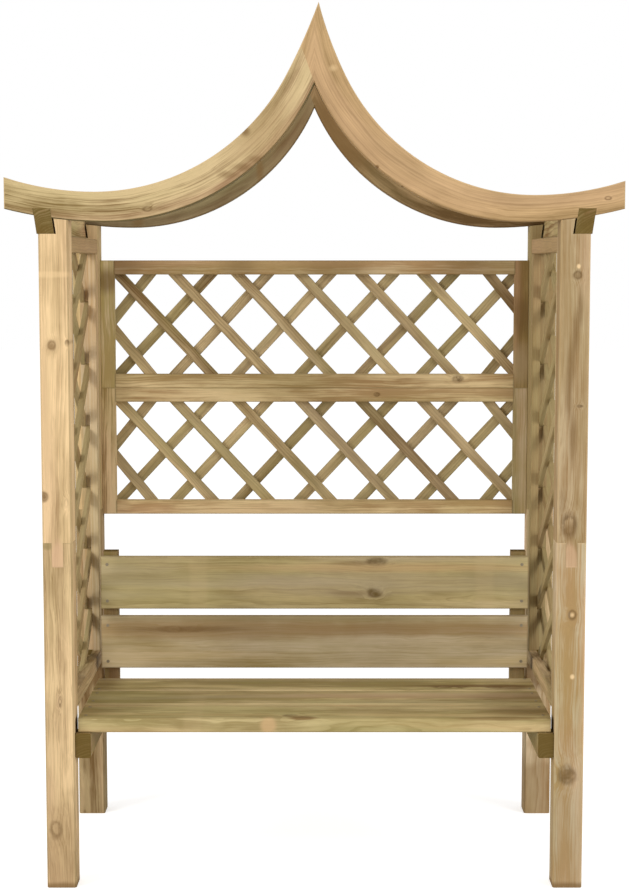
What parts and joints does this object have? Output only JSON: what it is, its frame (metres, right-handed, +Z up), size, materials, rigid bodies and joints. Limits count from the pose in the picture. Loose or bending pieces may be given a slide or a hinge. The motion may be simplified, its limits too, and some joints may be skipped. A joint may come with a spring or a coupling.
{
  "type": "arbour seat",
  "caption": "Timber garden arbour with a pagoda-shaped roof frame, trellis sides and upper back, and a slatted bench with a low backrest.",
  "frame": {"origin": "on the ground under the middle of the four posts", "axes": "+X to the right as seen from the front, +Y to the back, +Z up"},
  "size_m": [1.441, 0.71, 2.091],
  "materials": {
    "post_timber": "planed softwood, pressure treated",
    "roof_timber": "planed softwood, pressure treated",
    "trellis_frame_timber": "planed softwood, pressure treated",
    "lath_timber": "planed softwood, pressure treated",
    "board_timber": "planed softwood, pressure treated",
    "bearer_timber": "planed softwood, pressure treated"
  },
  "bodies": {
    "root": {"post_front_left_lower": "post_timber", "post_front_left_upper": "post_timber", "post_front_right_lower": "post_timber", "post_front_right_upper": "post_timber", "post_rear_left_lower": "post_timber", "post_rear_left_upper": "post_timber", "post_rear_right_lower": "post_timber", "post_rear_right_upper": "post_timber", "arch_front_left": "roof_timber", "arch_front_right": "roof_timber", "arch_rear_left": "roof_timber", "arch_rear_right": "roof_timber", "eaves_purlin_left": "roof_timber", "eaves_purlin_right": "roof_timber", "back_trellis_lower_left_stile": "trellis_frame_timber", "back_trellis_lower_right_stile": "trellis_frame_timber", "back_trellis_lower_bottom_rail": "trellis_frame_timber", "back_trellis_lower_top_rail": "trellis_frame_timber", "back_trellis_upper_left_stile": "trellis_frame_timber", "back_trellis_upper_right_stile": "trellis_frame_timber", "back_trellis_upper_bottom_rail": "trellis_frame_timber", "back_trellis_upper_top_rail": "trellis_frame_timber", "side_trellis_left_front_stile": "trellis_frame_timber", "side_trellis_left_rear_stile": "trellis_frame_timber", "side_trellis_left_top_rail": "trellis_frame_timber", "side_trellis_left_bottom_rail": "trellis_frame_timber", "side_trellis_right_front_stile": "trellis_frame_timber", "side_trellis_right_rear_stile": "trellis_frame_timber", "side_trellis_right_top_rail": "trellis_frame_timber", "side_trellis_right_bottom_rail": "trellis_frame_timber", "back_trellis_lower_laths_front": "lath_timber", "back_trellis_lower_laths_rear": "lath_timber", "back_trellis_upper_laths_front": "lath_timber", "back_trellis_upper_laths_rear": "lath_timber", "side_trellis_left_laths_inner": "lath_timber", "side_trellis_left_laths_outer": "lath_timber", "side_trellis_right_laths_inner": "lath_timber", "side_trellis_right_laths_outer": "lath_timber", "seat_board_front": "board_timber", "seat_board_middle": "board_timber", "seat_board_rear": "board_timber", "backrest_board_lower": "board_timber", "backrest_board_upper": "board_timber", "seat_bearer_left": "bearer_timber", "seat_bearer_right": "bearer_timber", "backrest_batten_left": "bearer_timber", "backrest_batten_right": "bearer_timber"}
  },
  "joints": []
}
